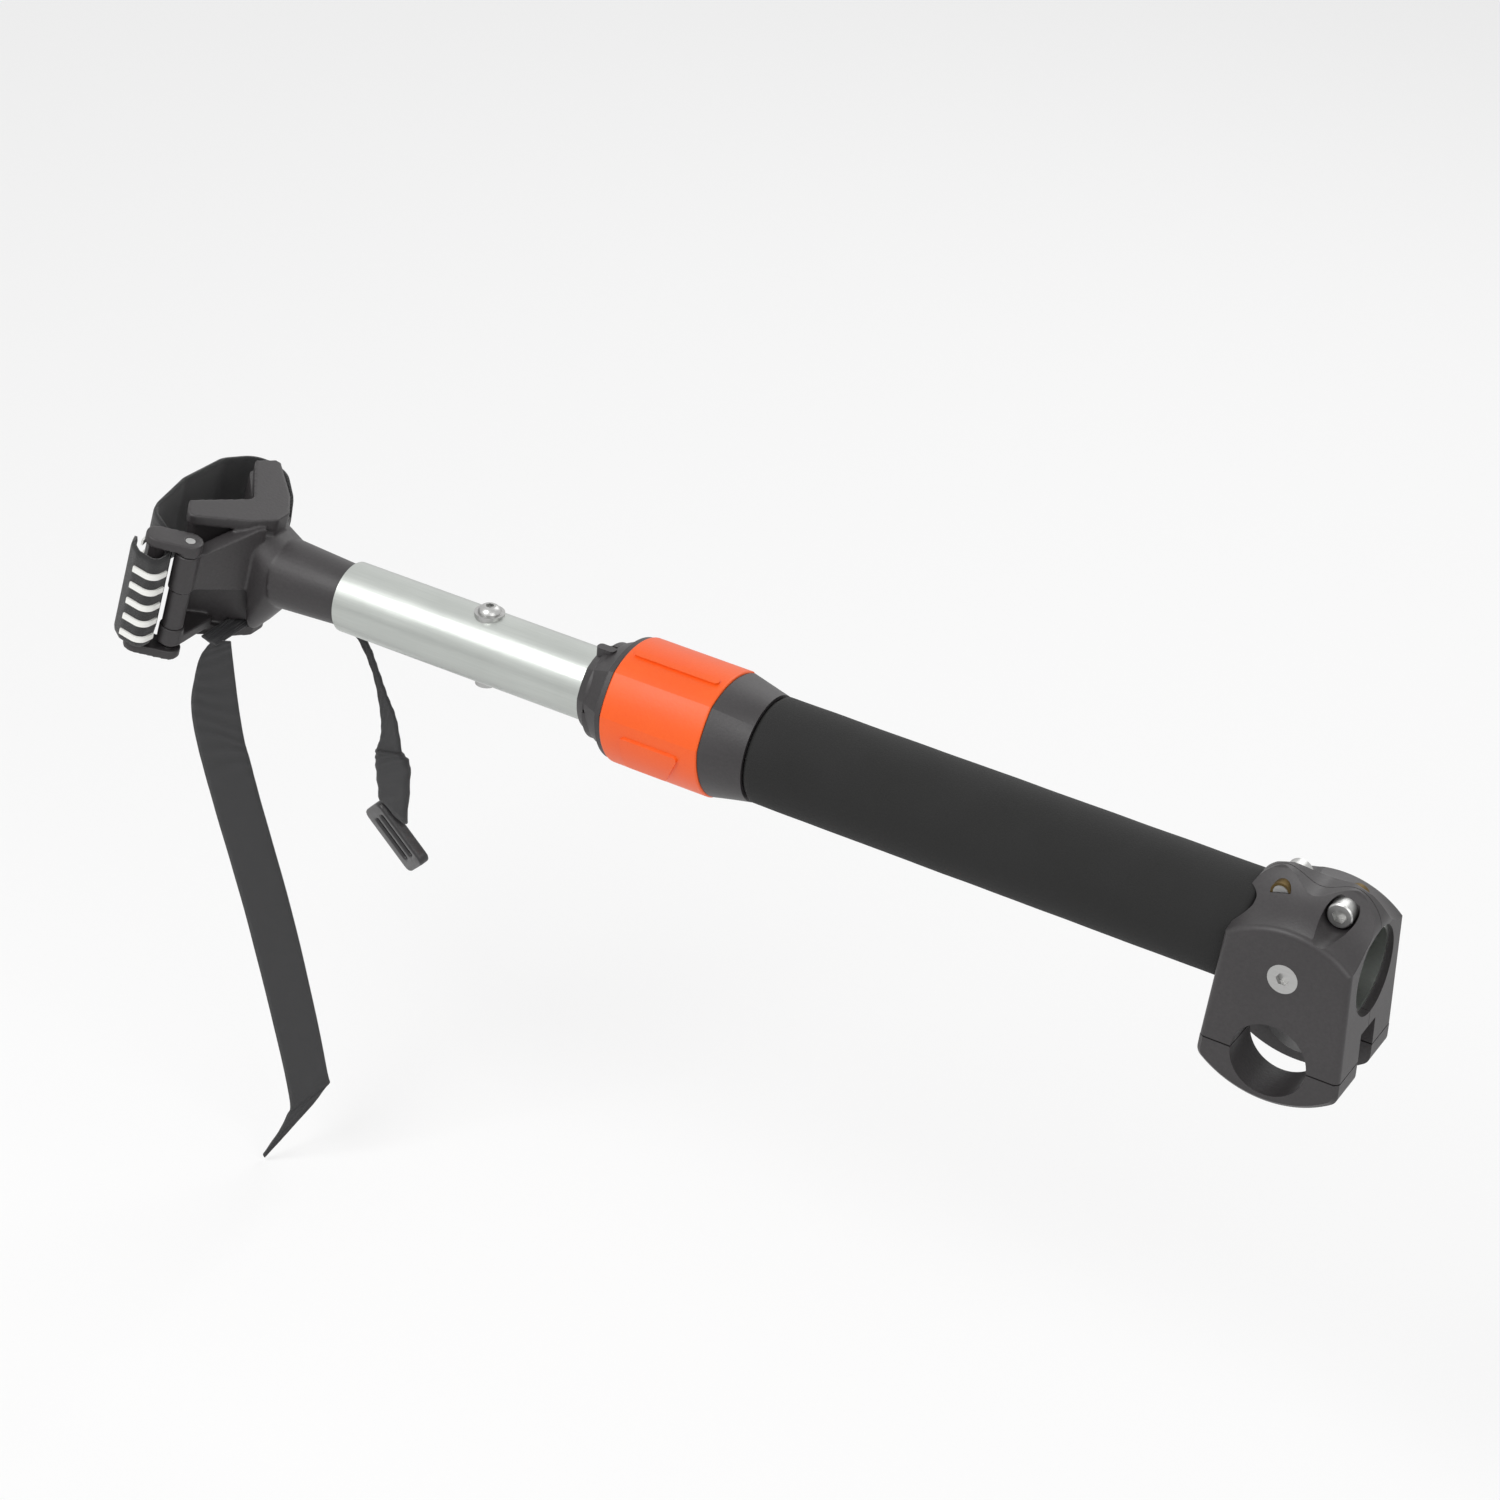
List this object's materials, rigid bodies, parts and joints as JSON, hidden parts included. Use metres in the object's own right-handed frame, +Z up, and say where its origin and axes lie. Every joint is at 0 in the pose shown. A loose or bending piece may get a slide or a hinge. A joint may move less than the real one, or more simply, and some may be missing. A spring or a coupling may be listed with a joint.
{
  "type": "telescopic bicycle trailer drawbar",
  "caption": "Telescopic bicycle-trailer drawbar: cross-tube clamp, foam-covered pole with a twist lock, and a strap-on seat-post head with safety strap.",
  "frame": {"origin": "middle of the cross-tube bore of the clamp, on its axis", "axes": "+Y along the cross tube, +Z up, -X along the pole towards the seat-post head"},
  "size_m": [0.5485, 0.0956, 0.3247],
  "materials": {
    "black_nylon": "fine moulded grain",
    "black_acetal": "satin",
    "orange_plastic": "fine moulded grain",
    "satin_aluminium": "satin anodised",
    "foam_rubber": "closed-cell foam skin",
    "stainless_steel": "turned and tumbled",
    "brass_insert": "machined",
    "hook_and_loop": "brushed loop pile",
    "white_silicone": "soft matte",
    "polyester_webbing": "woven twill"
  },
  "bodies": {
    "base": {"clamp_half_front": "black_nylon", "clamp_half_rear": "black_nylon", "jaw_cap_front": "black_nylon", "jaw_cap_rear": "black_nylon", "jaw_cap_bolts": "stainless_steel", "pinch_bolts": "stainless_steel", "pinch_bolt_inserts": "brass_insert", "tube_fixing_screws": "stainless_steel", "outer_tube": "satin_aluminium", "foam_grip": "foam_rubber", "rear_ferrule": "black_nylon", "lock_sleeve": "black_nylon", "guide_bush": "black_acetal", "front_cap": "black_nylon"},
    "twist_lock": {"twist_collar": "orange_plastic", "lock_ring": "satin_aluminium"},
    "telescope": {"inner_tube": "satin_aluminium", "tube_guide_plug": "black_nylon", "head_body": "black_nylon", "neck_screw_washer": "stainless_steel", "neck_screw": "stainless_steel", "neck_screw_nut": "stainless_steel", "hinge_pin": "stainless_steel", "hinge_spacer": "black_nylon", "band_loop": "hook_and_loop", "band_loop_ribs": "white_silicone", "safety_strap": "polyester_webbing", "ladder_lock_buckle": "black_acetal"},
    "band_gate": {"band_frame": "black_nylon", "band_fold": "hook_and_loop", "band_fold_ribs": "white_silicone"}
  },
  "joints": [
    {"name": "collar_twist", "type": "hinge", "parent": "base", "child": "twist_lock", "pos_m": [-0.268, 0, 0.036], "axis": [1, 0, 0], "range_deg": [0, 60]},
    {"name": "pole_extension", "type": "slide", "parent": "base", "child": "telescope", "axis": [-1, 0, 0], "range_m": [-0.045, 0.12]},
    {"name": "band_gate_hinge", "type": "hinge", "parent": "telescope", "child": "band_gate", "pos_m": [-0.48335, -0.0382, 0.0365], "axis": [0.2164, 0, 0.9763], "range_deg": [0, 35]}
  ]
}
